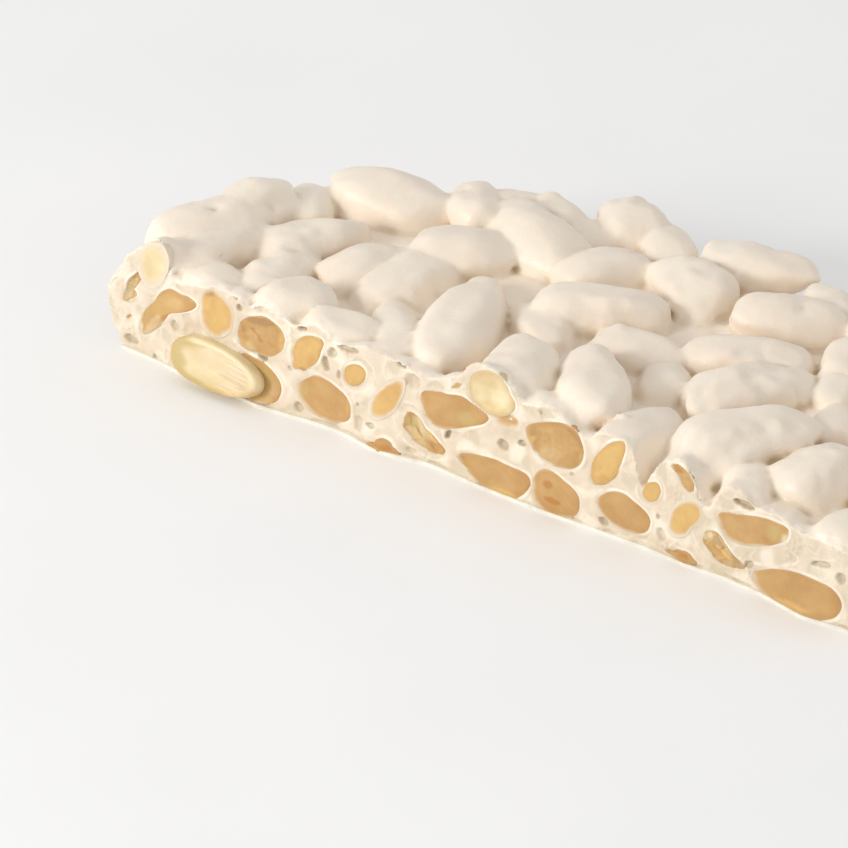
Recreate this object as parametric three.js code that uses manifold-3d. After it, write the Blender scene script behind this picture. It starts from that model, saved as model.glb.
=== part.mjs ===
// Half of a round hard nougat cake: almonds bound in white nougat, cut straight through, on a thin wafer.
// Millimetres, +Z up. The cut face looks along -Y, the round rim is at the back, the wafer lies on z = 0.
// Inside this file the middle of the cut's lower edge is the zero point. The last lines centre the whole.
import * as THREE from 'three';
import { mergeVertices } from 'three/addons/utils/BufferGeometryUtils.js';
import Module from 'manifold-3d';

// ---- driving dimensions ----
const HALF_CUT = 92; // half the length of the straight cut
const DEPTH = 80; // from the cut to the back of the rim
const RIM_RADIUS = (HALF_CUT ** 2 + DEPTH ** 2) / (2 * DEPTH);
const RIM_CENTRE_Y = DEPTH - RIM_RADIUS;
const RIM_END = Math.asin(-RIM_CENTRE_Y / RIM_RADIUS); // angle at which the rim meets the cut
const WAFER_THICKNESS = 0.6;
const WAFER_INSET = 1.5; // how far the wafer's edge stays inside the rim
const CORE_TOP = 17; // height of the nougat between the almonds
const CORE_INSET = 1.5; // how far the core stays inside the rim
const CORE_EDGE = 7; // rounding of the core's upper edge
const ALMOND_FLATNESS = 0.75; // thickness of an almond over its width
const ALMOND_TAPER = 0.15; // how much slimmer than its middle the pointed end is
const SKIN = 2; // nougat round an almond that the cut went through
const FILLET = 1.6; // nougat that fills the crease between two almonds
const CELL = 3.5; // grid step that the nougat's surface is worked out on
const GAP = 0.3; // clearance between an almond and the nougat around it

// Almonds under the nougat's skin, on the top: x, y, turn from +X in degrees, length, width, crest's height.
const TOP_ALMONDS = [
  // along the cut, left to right
  [-70.5, 5.5, 12, 16, 11, 22],
  [-52.5, 7.5, 35, 17, 14, 24.2],
  [-39, 5, 15, 17, 11.5, 22.6],
  [-32, 13, 130, 25, 11, 21],
  [0.8, 10, 112, 25, 14.5, 26.3],
  [12.5, 3.4, 172, 17, 9, 23.8],
  [31, 8, 95, 27, 15, 23],
  [46, 6, 70, 18, 11, 22],
  [58, 6, 105, 19, 11, 22],
  [67, 17, 85, 21, 17, 24],
  [83, 10, 70, 24, 13, 20],
  // middle
  [-67, 29, 65, 26, 13, 23],
  [-63.5, 15, 92, 25, 12, 22],
  [-52, 28, 75, 20, 12, 23],
  [-42, 31, 85, 31, 16, 22],
  [-22.5, 21.5, 112, 37, 16, 24],
  [-11, 32, 145, 20, 11, 21],
  [14.6, 15, 129, 29, 14.5, 26.4],
  [10, 35, 5, 22, 13, 22],
  [21, 29, 125, 16, 11, 21],
  [49, 17, 60, 31, 18, 26],
  [37, 34, 65, 29, 16, 24],
  [29, 45, 25, 27, 13, 23],
  [-5, 42, 30, 28, 14, 24],
  [-40, 44, 25, 22, 15, 24],
  [-26, 66, 0, 14, 10, 21],
  [-33, 57, 165, 30, 16, 25],
  [-15, 56, 60, 21, 14, 23],
  [3, 61, 160, 22, 16, 24],
  [27, 61, 25, 24, 14, 25],
  [45, 56, 115, 16, 11, 23],
  [49, 47, 125, 16, 11, 21],
  [58, 35, 120, 16, 11, 22],
  // round the rim, left to right
  [-83, 22.5, 68, 34, 15, 25.6],
  [-78.5, 14, 80, 26, 13, 24.2],
  [-82, 32, 65, 17, 12, 26],
  [-77, 41, 130, 16, 11, 22],
  [-64, 52, 10, 29, 16, 25],
  [-49, 59, 130, 19, 11, 24],
  [-44, 66, 30, 16, 11, 22],
  [-35, 67, 155, 16, 11, 22.3],
  [-22, 74, 145, 18, 14, 23.5],
  [-11, 72, 145, 17, 11, 22.3],
  [10, 74.5, 22, 25, 12, 24],
  [29, 71, 145, 16, 11, 23],
  [45, 67, 140, 24, 13, 24],
  [60, 52, 145, 25, 14, 22],
  [71, 38, 120, 26, 14, 23],
  [79, 24, 110, 24, 13, 22],
];

// Heaps of nougat without an almond, just behind the cut, in the same terms.
const HEAPS = [
  [-81, 4.2, 90, 9, 7, 25.4],
  [-87.3, 2.5, 90, 8, 5, 20.5],
  [-61.5, 3, 90, 10, 8, 20.6],
  [-26, 7, 75, 15, 9, 21.8],
  [7.5, 9, 90, 12, 8, 22.5],
  [39, 4, 0, 9, 7, 19.4],
  [67, 4, 0, 14, 9, 18.9],
];

// The nougat's upper edge along the cut: x, z. It is rounded, and wider than it is high.
const CUT_EDGE = [
  [-88.6, 19], [-86, 23], [-82, 25.8], [-79.5, 22], [-78, 19.2], [-75, 19.5], [-70.6, 20.2], [-64, 22],
  [-60.5, 21.2], [-56, 19.9], [-50.4, 20.4], [-46, 20.4], [-40, 19.8], [-34, 19.7], [-28.5, 21],
  [-22, 20.9], [-16, 20], [-12.8, 19.6], [-7, 22], [-3.5, 24.2], [-1, 25.6], [5, 25.6], [8.2, 21.4],
  [10.5, 20.2], [14, 21.8], [19, 22], [23, 20.6], [25.8, 19.6], [29, 20.9], [34, 23], [35.4, 19.5],
  [37.5, 18.8], [42, 20.9], [45, 22.4], [49.4, 21.7], [52, 16], [54.7, 15.3], [57.7, 20.3], [64, 19.6],
  [72, 18.8], [75.4, 17.9], [79, 15.3], [86, 15.5],
];
const EDGE_ROUND = 2.5;
const EDGE_BACK = 2.2; // how far behind the cut its middle lies
const EDGE_STRETCH = 1.8; // its width over its height

// Almonds lower down in the rim: evenly spaced round it, each turned and leaning differently from the next.
const RIM_ALMONDS = { count: 14, inset: 5.2, centre: 8, length: 22, width: 14, swing: 20, lean: 50 };

// Almonds that the cut went through: x, z, turn in the cut in degrees, length, width.
const CUT_ALMONDS = [
  [-81.9, 21, 66, 9.4, 6.6],
  [-87.6, 13.2, 61, 7.4, 3.8],
  [-78.6, 12.9, 33, 16, 6],
  [-66.4, 15.6, 80, 10.8, 8.2],
  [-55.1, 15.2, 17, 12.8, 8],
  [-55.8, 5.5, -14, 11.6, 8],
  [-43.8, 15.4, 51, 11, 6.3],
  [-39.2, 6.2, -6, 13.6, 9.2],
  [-31.8, 14.2, 41, 6.9, 4.6],
  [-23.8, 11.5, 53, 13.2, 5.3],
  [-24.2, 2.8, 4, 9, 3],
  [-15.4, 6.7, -29, 11.2, 6.4],
  [-8.6, 14.5, 10, 16, 7.6],
  [2.6, 21.3, -2, 10.4, 8.4],
  [2.2, 5.2, 0, 17.8, 7.8],
  [17.9, 5.9, -2, 11.2, 9.2],
  [17.2, 16.6, 6, 14.2, 9.4],
  [29.5, 16.8, 58, 13, 6],
  [33.7, 6.8, -3, 13.3, 8.8],
  [40.4, 14.1, 50, 6.2, 4.2],
  [47.8, 18.6, -41, 6.2, 4],
  [48.2, 11, 52, 9.4, 4.6],
  [47.3, 2.9, 3, 8.2, 3],
  [56.8, 6.9, -28, 10.2, 6],
  [64.2, 14.3, 13, 16.4, 6.6],
  [74.6, 5.7, 5, 21.6, 8.6],
];
const CUT_DEPTH = 4.5; // how deep an almond that was cut along its length goes behind the cut
const CUT_DEPTH_EXTRA = 0.5; // added for each millimetre that its outline is shorter than a long one
const CUT_LONG = 14;

// The one whole almond that came out of the cut. It stands on its edge, broad face out, and leans back.
const WHOLE_ALMOND = { x: -64.4, y: -2.1, z: 5.4, length: 22, width: 9.8, thickness: 5, lean: -4, tip: 70 };

const wasm = await Module();
wasm.setup();

// ---- solids to join and cut ----
function solidOf(geometry) {
  const bare = geometry.index ? geometry.clone() : geometry;
  bare.deleteAttribute('normal');
  bare.deleteAttribute('uv');
  const welded = mergeVertices(bare, 1e-4);
  return new wasm.Manifold(new wasm.Mesh({
    numProp: 3,
    vertProperties: new Float32Array(welded.attributes.position.array),
    triVerts: new Uint32Array(welded.index.array),
  }));
}

function geometryOf(solid) {
  const mesh = solid.getMesh();
  const geometry = new THREE.BufferGeometry();
  geometry.setAttribute('position', new THREE.BufferAttribute(new Float32Array(mesh.vertProperties), 3));
  geometry.setIndex(new THREE.BufferAttribute(new Uint32Array(mesh.triVerts), 1));
  geometry.computeVertexNormals();
  return geometry;
}

function blockSolid(low, high) {
  const size = new THREE.Vector3().subVectors(high, low);
  const centre = new THREE.Vector3().addVectors(low, high).multiplyScalar(0.5);
  return solidOf(new THREE.BoxGeometry(size.x, size.y, size.z).translate(centre.x, centre.y, centre.z));
}

// ---- the almond: one unit form, round at one end, slimmer at the other, placed by a matrix ----
// It lies along X, width along Y, thickness along Z. Tip rolls it about its length, lean lifts its
// pointed end, and turn swings it round the vertical.
function almondMatrix({ x, y, z, turn = 0, lean = 0, tip = 0, length, width, thickness }, grow = 0) {
  const [roll, pitch, yaw] = [tip, -lean, turn].map(THREE.MathUtils.degToRad);
  const place = new THREE.Quaternion().setFromEuler(new THREE.Euler(roll, pitch, yaw, 'ZYX'));
  const reach = new THREE.Vector3(length, width, thickness).multiplyScalar(0.5).addScalar(grow);
  return new THREE.Matrix4().compose(new THREE.Vector3(x, y, z), place, reach);
}

function almondSolid(almond, grow) {
  const steps = 6;
  const sides = 10;
  const profile = [];
  for (let i = 0; i <= steps; i += 1) {
    const along = -Math.cos((Math.PI * i) / steps);
    const radius = i % steps === 0 ? 0 : Math.sqrt(1 - along * along) * (1 - ALMOND_TAPER * along);
    profile.push(new THREE.Vector2(radius, along));
  }
  const geometry = new THREE.LatheGeometry(profile, sides).rotateZ(-Math.PI / 2);
  return solidOf(geometry.applyMatrix4(almondMatrix(almond, grow)));
}

function underSkin([x, y, turn, length, width, crest]) {
  const thickness = width * ALMOND_FLATNESS;
  return { x, y, z: crest - thickness / 2, turn, length, width, thickness };
}

const rimAlmonds = Array.from({ length: RIM_ALMONDS.count }, (_, i) => {
  const { count, inset, centre, length, width, swing, lean } = RIM_ALMONDS;
  const around = RIM_END + ((Math.PI - 2 * RIM_END) * i) / (count - 1);
  return {
    x: (RIM_RADIUS - inset) * Math.cos(around),
    y: RIM_CENTRE_Y + (RIM_RADIUS - inset) * Math.sin(around),
    z: centre + Math.cos(4 * i),
    turn: THREE.MathUtils.radToDeg(around) + 90 + swing * Math.sin(5 * i),
    lean: lean * Math.sin(2.3 * i),
    length: length + 2 * Math.sin(2 * i),
    width: width + Math.cos(3 * i),
    thickness: width * ALMOND_FLATNESS,
  };
});

const cutAlmonds = CUT_ALMONDS.map(([x, z, lean, length, width]) => {
  const depth = CUT_DEPTH + CUT_DEPTH_EXTRA * Math.max(CUT_LONG - length, 0);
  return { x, y: 0, z, lean, tip: 90, length, width, thickness: 2 * depth };
});

// ---- the nougat's form as a field: below zero inside, above zero outside ----
function almondField(almond, grow) {
  const toUnit = almondMatrix(almond, grow).invert();
  const least = Math.min(almond.width, almond.thickness) / 2 + grow;
  const unit = new THREE.Vector3();
  return (p) => {
    unit.copy(p).applyMatrix4(toUnit);
    const slim = 1 - ALMOND_TAPER * THREE.MathUtils.clamp(unit.x, -1, 1);
    return (Math.hypot(unit.x, unit.y / slim, unit.z / slim) - 1) * least;
  };
}

function coreField(p) {
  const out = Math.hypot(p.x, p.y - RIM_CENTRE_Y) - (RIM_RADIUS - CORE_INSET - CORE_EDGE);
  const up = p.z - (CORE_TOP - CORE_EDGE);
  return Math.hypot(Math.max(out, 0), Math.max(up, 0)) + Math.min(Math.max(out, up), 0) - CORE_EDGE;
}

function edgeHeight(x) {
  const next = CUT_EDGE.findIndex(([at]) => at >= x);
  if (next < 1) return CUT_EDGE[0][1];
  const [[fromX, fromZ], [toX, toZ]] = CUT_EDGE.slice(next - 1);
  return THREE.MathUtils.mapLinear(x, fromX, toX, fromZ, toZ);
}

function edgeField(p) {
  const x = THREE.MathUtils.clamp(p.x, CUT_EDGE[0][0], CUT_EDGE.at(-1)[0]);
  const up = Math.max(p.z - edgeHeight(x) + EDGE_ROUND, 0);
  return Math.hypot(p.x - x, (p.y - EDGE_BACK) / EDGE_STRETCH, up) - EDGE_ROUND;
}

function smoothUnion(a, b) {
  const blend = Math.max(FILLET - Math.abs(a - b), 0) / FILLET;
  return Math.min(a, b) - (blend * blend * FILLET) / 4;
}

function nougatField() {
  const lumps = [...TOP_ALMONDS, ...HEAPS].map(underSkin);
  const coated = [...lumps, ...rimAlmonds].map((almond) => almondField(almond, 0));
  const forms = [edgeField, ...coated, ...cutAlmonds.map((almond) => almondField(almond, SKIN))];
  return (p) => forms.reduce((distance, form) => smoothUnion(distance, form(p)), coreField(p));
}

// Where four grid points in a square are inside and outside by turns, two creases would meet in a knife
// edge. The nougat fills one of them, until no such square is left.
function closePinches(values, stride, cell) {
  const last = values.length - stride[1] - stride[2] - 1;
  let closed = true;
  while (closed) {
    closed = false;
    for (const [first, second] of [[0, 1], [1, 2], [0, 2]]) {
      for (let at = 0; at <= last; at += 1) {
        const steps = [0, stride[first], stride[first] + stride[second], stride[second]];
        const square = steps.map((step) => at + step);
        const inside = square.map((n) => values[n] < 0);
        if (inside[0] === inside[2] && inside[1] === inside[3] && inside[0] !== inside[1]) {
          values[inside[0] ? square[1] : square[0]] = -0.1 * cell;
          closed = true;
        }
      }
    }
  }
}

// ---- a closed skin round a field: one vertex in each cell it passes, one face for each edge ----
function skinOf(field, low, high, cell) {
  const count = [0, 1, 2].map((i) => Math.ceil((high.getComponent(i) - low.getComponent(i)) / cell) + 1);
  const stride = [1, count[0], count[0] * count[1]];
  const values = new Float32Array(count[0] * count[1] * count[2]);
  const corner = (i, j, k) => new THREE.Vector3(i, j, k).multiplyScalar(cell).add(low);
  for (let k = 0; k < count[2]; k += 1) {
    for (let j = 0; j < count[1]; j += 1) {
      for (let i = 0; i < count[0]; i += 1) {
        const edge = [i, j, k].some((n, axis) => n < 2 || n > count[axis] - 3);
        values[i + j * stride[1] + k * stride[2]] = edge ? cell : field(corner(i, j, k));
      }
    }
  }
  closePinches(values, stride, cell);

  const vertexOf = new Map();
  const positions = [];
  const cellVertex = (i, j, k) => {
    const key = i + j * stride[1] + k * stride[2];
    if (vertexOf.has(key)) return vertexOf.get(key);
    const sum = new THREE.Vector3();
    let crossings = 0;
    for (let axis = 0; axis < 3; axis += 1) {
      for (let side = 0; side < 4; side += 1) {
        const at = [i, j, k];
        at[(axis + 1) % 3] += side & 1;
        at[(axis + 2) % 3] += side >> 1;
        const from = at[0] + at[1] * stride[1] + at[2] * stride[2];
        const [a, b] = [values[from], values[from + stride[axis]]];
        if (a < 0 !== b < 0) {
          at[axis] += a / (a - b);
          sum.add(corner(...at));
          crossings += 1;
        }
      }
    }
    sum.divideScalar(crossings);
    positions.push(sum.x, sum.y, sum.z);
    vertexOf.set(key, positions.length / 3 - 1);
    return positions.length / 3 - 1;
  };

  const faces = [];
  for (let k = 1; k < count[2] - 1; k += 1) {
    for (let j = 1; j < count[1] - 1; j += 1) {
      for (let i = 1; i < count[0] - 1; i += 1) {
        const from = i + j * stride[1] + k * stride[2];
        for (let axis = 0; axis < 3; axis += 1) {
          const inside = values[from] < 0;
          if (inside === values[from + stride[axis]] < 0) continue;
          const ring = [[1, 1], [0, 1], [0, 0], [1, 0]].map(([back, down]) => {
            const at = [i, j, k];
            at[(axis + 1) % 3] -= back;
            at[(axis + 2) % 3] -= down;
            return cellVertex(...at);
          });
          if (!inside) ring.reverse();
          faces.push(ring[0], ring[1], ring[2], ring[0], ring[2], ring[3]);
        }
      }
    }
  }
  const geometry = new THREE.BufferGeometry();
  geometry.setAttribute('position', new THREE.Float32BufferAttribute(positions, 3));
  geometry.setIndex(faces);
  return geometry;
}

// ---- the pieces ----
function cutAlmondSolid(almond, grow, front) {
  const behind = blockSolid(new THREE.Vector3(-110, front, -10), new THREE.Vector3(110, 40, 40));
  return almondSolid(almond, grow).intersect(behind);
}

function nougatSolid() {
  const low = new THREE.Vector3(-105, -9, -9);
  const high = new THREE.Vector3(105, 93, 33);
  const kept = blockSolid(new THREE.Vector3(-110, 0, WAFER_THICKNESS), new THREE.Vector3(110, 100, 40));
  let nougat = solidOf(skinOf(nougatField(), low, high, CELL)).intersect(kept);
  for (const almond of cutAlmonds) nougat = nougat.subtract(cutAlmondSolid(almond, GAP, -1));
  return nougat.subtract(almondSolid(WHOLE_ALMOND, GAP));
}

function waferGeometry() {
  const radius = RIM_RADIUS - WAFER_INSET;
  const end = Math.asin(-RIM_CENTRE_Y / radius);
  const outline = new THREE.Shape();
  outline.absarc(0, RIM_CENTRE_Y, radius, end, Math.PI - end, false);
  outline.closePath();
  const settings = { depth: WAFER_THICKNESS, bevelEnabled: false, curveSegments: 32 };
  return new THREE.ExtrudeGeometry(outline, settings);
}

function piece(name, geometry, color, roughness) {
  const mesh = new THREE.Mesh(geometry, new THREE.MeshStandardMaterial({ color, roughness, metalness: 0 }));
  mesh.name = name;
  return mesh;
}

const cake = new THREE.Group();
cake.add(piece('wafer', waferGeometry(), 0xe6e3dc, 0.8));
cake.add(piece('nougat', geometryOf(nougatSolid()), 0xebdfce, 0.6));
cake.add(piece('almond_whole', geometryOf(almondSolid(WHOLE_ALMOND, 0)), 0xf0dfa8, 0.4));
cutAlmonds.forEach((almond, i) => {
  const solid = cutAlmondSolid(almond, 0, 0).subtract(almondSolid(WHOLE_ALMOND, GAP));
  cake.add(piece(`almond_${String(i + 1).padStart(2, '0')}`, geometryOf(solid), 0xd9ac74, 0.55));
});

// The part's own zero point: the middle of its box in plan, on the surface it lies on.
const bounds = new THREE.Box3().setFromObject(cake);
const middle = bounds.getCenter(new THREE.Vector3());
cake.position.set(-middle.x, -middle.y, -bounds.min.z);

export default cake;
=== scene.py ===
"""Half of a round hard nougat cake: coated almonds, the cut with its sliced almonds, a wafer and a stage."""

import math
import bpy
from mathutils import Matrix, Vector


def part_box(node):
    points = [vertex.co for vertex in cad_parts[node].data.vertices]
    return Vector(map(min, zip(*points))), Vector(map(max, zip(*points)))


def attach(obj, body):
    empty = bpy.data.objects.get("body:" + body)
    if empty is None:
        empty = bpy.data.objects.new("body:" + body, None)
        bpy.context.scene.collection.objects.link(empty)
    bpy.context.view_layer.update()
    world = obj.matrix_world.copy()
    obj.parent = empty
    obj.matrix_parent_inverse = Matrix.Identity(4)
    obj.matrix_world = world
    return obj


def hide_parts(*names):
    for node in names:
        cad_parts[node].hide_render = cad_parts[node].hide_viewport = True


bl_info = {
    "name": "Nougat cake half",
    "version": (1, 0, 0),
    "blender": (4, 5, 0),
    "location": "View3D > Sidebar > Nougat",
    "description": "Dresses the solids of a cut round nougat cake with almonds, nougat and a wafer",
    "category": "Object",
}

import bpy
import numpy as np
from bpy.props import FloatProperty, FloatVectorProperty
from mathutils import Euler, Matrix, Vector, noise

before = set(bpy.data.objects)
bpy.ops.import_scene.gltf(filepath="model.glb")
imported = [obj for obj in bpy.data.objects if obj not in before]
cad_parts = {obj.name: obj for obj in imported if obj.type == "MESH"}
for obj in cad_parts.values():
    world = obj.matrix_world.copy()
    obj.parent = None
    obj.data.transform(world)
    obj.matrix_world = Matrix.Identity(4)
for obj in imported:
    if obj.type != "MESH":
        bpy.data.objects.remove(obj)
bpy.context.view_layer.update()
MM = 0.001

# Everything below is measured in millimetres from the middle of the cut's lower edge: x along the cut,
# y from the cut to the rim, z up.
WAFER_LOW, WAFER_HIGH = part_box("wafer")
ZERO = Vector(((WAFER_LOW.x + WAFER_HIGH.x) / 2, WAFER_LOW.y, WAFER_LOW.z))
WAFER_TOP = (WAFER_HIGH.z - WAFER_LOW.z) / MM

HALF_CUT = 92
DEPTH = 80
RIM_RADIUS = (HALF_CUT**2 + DEPTH**2) / (2 * DEPTH)
RIM_CENTRE_Y = DEPTH - RIM_RADIUS
RIM_END = math.asin(-RIM_CENTRE_Y / RIM_RADIUS)  # the angle at which the rim meets the cut
WAFER_INSET = 1.5
WAFER_FRONT = 0.25  # how far the wafer stands out of the cut

# The nougat between the almonds: height, distance from the rim, round of its upper edge, and how far it goes
# on below the wafer and in front of the cut before it is trimmed.
CORE_TOP, CORE_INSET, CORE_EDGE, CORE_BELOW, CORE_FRONT = 17, 1.5, 7, 3, 6
FIRST_GRID = 0.55  # step of the grid that joins the lumps, before the creases are softened
MOST_TRIANGLES = 190000
FLATNESS = 0.75  # an almond's thickness over its width

# Almonds under the nougat's skin, on the top: x, y, turn, length, width, height of the crest.
TOP_ALMONDS = (
    # along the cut, left to right
    (-70.5, 5.5, 12, 16, 11, 22), (-52.5, 7.5, 35, 17, 14, 24.2), (-39, 5, 15, 17, 11.5, 22.6),
    (-32, 13, 130, 25, 11, 21), (0.8, 10, 112, 25, 14.5, 26.3), (12.5, 3.4, 172, 17, 9, 23.8),
    (31, 8, 95, 27, 15, 23), (46, 6, 70, 18, 11, 22), (58, 6, 105, 19, 11, 22), (67, 17, 85, 21, 17, 24),
    (83, 10, 70, 24, 13, 20),
    # middle
    (-67, 29, 65, 26, 13, 23), (-63.5, 15, 92, 25, 12, 22), (-52, 28, 75, 20, 12, 23),
    (-42, 31, 85, 31, 16, 22), (-22.5, 21.5, 112, 37, 16, 24), (-11, 32, 145, 20, 11, 21),
    (14.6, 15, 129, 29, 14.5, 26.4), (10, 35, 5, 22, 13, 22), (21, 29, 125, 16, 11, 21),
    (49, 17, 60, 31, 18, 26), (37, 34, 65, 29, 16, 24), (29, 45, 25, 27, 13, 23), (-5, 42, 30, 28, 14, 24),
    (-40, 44, 25, 22, 15, 24), (-26, 66, 0, 14, 10, 21), (-33, 57, 165, 30, 16, 25),
    (-15, 56, 60, 21, 14, 23), (3, 61, 160, 22, 16, 24), (27, 61, 25, 24, 14, 25),
    (45, 56, 115, 16, 11, 23), (49, 47, 125, 16, 11, 21), (58, 35, 120, 16, 11, 22),
    # round the rim, left to right
    (-83, 22.5, 68, 34, 15, 25.6), (-78.5, 14, 80, 26, 13, 24.2), (-82, 32, 65, 17, 12, 26),
    (-77, 41, 130, 16, 11, 22), (-64, 52, 10, 29, 16, 25), (-49, 59, 130, 19, 11, 24),
    (-44, 66, 30, 16, 11, 22), (-35, 67, 155, 16, 11, 22.3), (-22, 74, 145, 18, 14, 23.5),
    (-11, 72, 145, 17, 11, 22.3), (10, 74.5, 22, 25, 12, 24), (29, 71, 145, 16, 11, 23),
    (45, 67, 140, 24, 13, 24), (60, 52, 145, 25, 14, 22), (71, 38, 120, 26, 14, 23),
    (79, 24, 110, 24, 13, 22),
)
# Heaps of nougat without an almond, just behind the cut, in the same terms.
HEAPS = (
    (-81, 4.2, 90, 9, 7, 25.4), (-87.3, 2.5, 90, 8, 5, 20.5), (-61.5, 3, 90, 10, 8, 20.6),
    (-26, 7, 75, 15, 9, 21.8), (7.5, 9, 90, 12, 8, 22.5), (39, 4, 0, 9, 7, 19.4), (67, 4, 0, 14, 9, 18.9),
)
# The nougat's upper edge along the cut: x, z.
CUT_EDGE = (
    (-88.6, 19), (-86, 23), (-82, 25.8), (-79.5, 22), (-78, 19.2), (-75, 19.5), (-70.6, 20.2), (-64, 22),
    (-60.5, 21.2), (-56, 19.9), (-50.4, 20.4), (-46, 20.4), (-40, 19.8), (-34, 19.7), (-28.5, 21),
    (-22, 20.9), (-16, 20), (-12.8, 19.6), (-7, 22), (-3.5, 24.2), (-1, 25.6), (5, 25.6), (8.2, 21.4),
    (10.5, 20.2), (14, 21.8), (19, 22), (23, 20.6), (25.8, 19.6), (29, 20.9), (34, 23), (35.4, 19.5),
    (37.5, 18.8), (42, 20.9), (45, 22.4), (49.4, 21.7), (52, 16), (54.7, 15.3), (57.7, 20.3), (64, 19.6),
    (72, 18.8), (75.4, 17.9), (79, 15.3), (86, 15.5),
)
EDGE_STEP, EDGE_ROUND, EDGE_BACK = 2, 4.2, 1.4  # spacing, size and distance from the cut of the edge's lumps
# The almonds in the wall round the rim: how many, and their place and size.
RIM_ALMONDS = {"count": 14, "inset": 5.2, "centre": 8, "length": 22, "width": 14, "swing": 20, "lean": 50}

RIM_CELL = 10  # height of the bulges in the wall round the rim
RIM_CREASE = 2.4  # depth of the creases between them
CREASE_STEPS, CREASE_DEPTH = 8, 0.4  # how far the measure of the creases reaches, in steps of the mesh, and the depth at which their painted shade is full

# An oval in the cut is given as x, z, turn, length, width.
# Almonds that the cut went through: the oval, the finish, how far the nougat films over the edge, and the
# outline's reach at even steps round it, in hundredths of the oval.
CUT_ALMONDS = (
    (-82.2, 21.2, 66, 11.8, 7.8, "pale", 1.7,
     (99, 91, 94, 94, 105, 101, 93, 89, 95, 99, 97, 97, 93, 95, 98, 98)),
    (-87.9, 13.7, 64, 9.7, 4, "broken", 0,
     (120, 98, 89, 92, 82, 75, 75, 83, 72, 69, 74, 89, 96, 48, 60, 116)),
    (-80.8, 12.1, 40, 18.3, 7.3, "tan", 0,
     (87, 83, 89, 76, 48, 44, 47, 57, 67, 88, 117, 96, 74, 68, 143, 114)),
    (-66.4, 15.7, 80, 10.9, 8.8, "gold", 0.8,
     (93, 102, 105, 104, 94, 94, 103, 104, 102, 98, 96, 100, 102, 104, 102, 94)),
    (-55.1, 14.7, 17, 13.2, 9, "brown", 0.2,
     (97, 98, 97, 103, 97, 98, 99, 95, 98, 103, 98, 89, 100, 103, 101, 96)),
    (-55.8, 5, -14, 12.3, 9.3, "tan", 0,
     (104, 103, 98, 96, 95, 96, 110, 100, 96, 98, 103, 105, 97, 91, 94, 105)),
    (-43.6, 15.1, 51, 12.1, 6.3, "gold", 0,
     (92, 85, 87, 96, 101, 94, 86, 80, 98, 94, 94, 91, 96, 90, 86, 98)),
    (-39.2, 6.2, -6, 13.9, 9.4, "tan", 0.15,
     (96, 98, 100, 96, 100, 103, 94, 94, 103, 101, 97, 98, 94, 100, 100, 101)),
    (-31.8, 14.2, 41, 6.9, 4.6, "gold", 0.1,
     (98, 96, 95, 97, 101, 103, 94, 94, 96, 98, 98, 98, 96, 97, 98, 99)),
    (-23.8, 11.5, 53, 13.9, 5.3, "gold", 1,
     (104, 102, 93, 91, 95, 100, 101, 97, 95, 97, 99, 99, 100, 93, 92, 99)),
    (-24, 1.4, 4, 9.9, 3.4, "brown", 0,
     (63, 59, 65, 94, 113, 86, 59, 50, 78, 96, 76, 69, 79, 94, 99, 79)),
    (-15.4, 6.7, -29, 11.4, 6.4, "broken", 0,
     (101, 112, 97, 83, 73, 105, 112, 97, 89, 90, 106, 98, 102, 94, 91, 94)),
    (-8.1, 14.6, 10, 17.5, 8.1, "tan", 0,
     (109, 97, 93, 100, 90, 99, 109, 97, 87, 89, 103, 112, 97, 88, 89, 100)),
    (1.6, 21.7, -2, 12.1, 10, "pale", 0.1,
     (101, 87, 92, 100, 103, 98, 93, 95, 94, 99, 101, 95, 96, 94, 95, 103)),
    (2.8, 4.2, 0, 19.3, 7.8, "tan", 0,
     (86, 99, 111, 95, 94, 92, 98, 105, 95, 85, 92, 98, 103, 109, 94, 85)),
    (17.1, 4.9, -2, 11.8, 10.4, "tan", 0.2,
     (104, 107, 97, 90, 98, 106, 105, 99, 95, 101, 108, 100, 95, 96, 101, 102)),
    (17.4, 16.3, 6, 14.7, 10.3, "brown", 0.1,
     (93, 96, 106, 105, 94, 89, 95, 108, 104, 97, 94, 97, 97, 104, 101, 95)),
    (29.7, 16.4, 58, 14.3, 6.1, "gold", 0,
     (103, 95, 93, 91, 92, 100, 94, 95, 94, 93, 97, 99, 98, 86, 88, 98)),
    (33.7, 6.9, -3, 13.3, 8.9, "tan", 0.1,
     (97, 101, 95, 91, 101, 100, 95, 97, 102, 94, 97, 97, 96, 98, 97, 95)),
    (40.2, 14, 50, 5.8, 3.8, "gold", 0.3,
     (100, 102, 96, 96, 95, 98, 100, 99, 97, 96, 98, 97, 101, 96, 97, 95)),
    (47.9, 19.8, -45, 7, 3.5, "brown", 0.1,
     (93, 88, 97, 98, 106, 99, 91, 93, 93, 108, 105, 87, 85, 96, 109, 98)),
    (48, 10.9, 52, 10.9, 5.4, "gold", 0.8,
     (98, 97, 100, 103, 103, 103, 97, 97, 101, 106, 105, 103, 84, 100, 110, 105)),
    (47.1, 2, 3, 8.2, 3.3, "brown", 0,
     (73, 71, 85, 108, 101, 86, 72, 73, 111, 96, 85, 84, 89, 98, 97, 93)),
    (56.6, 6.9, -28, 10.9, 6.4, "broken", 0,
     (99, 117, 78, 73, 80, 110, 104, 97, 89, 90, 90, 92, 97, 92, 88, 90)),
    (63.9, 14.2, 13, 17.3, 6.7, "tan", 0.2,
     (104, 112, 105, 99, 93, 96, 121, 103, 93, 95, 106, 112, 102, 98, 99, 101)),
    (74.6, 4.3, 5, 22.5, 9.4, "tan", 0.1,
     (95, 100, 105, 99, 100, 97, 97, 101, 101, 100, 102, 98, 93, 105, 104, 97)),
)
CUT_DEPTH = 4.5  # how deep a long almond goes behind the cut
CUT_DEPTH_EXTRA = 0.5  # added for each millimetre that its outline is shorter than a long one
CUT_LONG = 14
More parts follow.
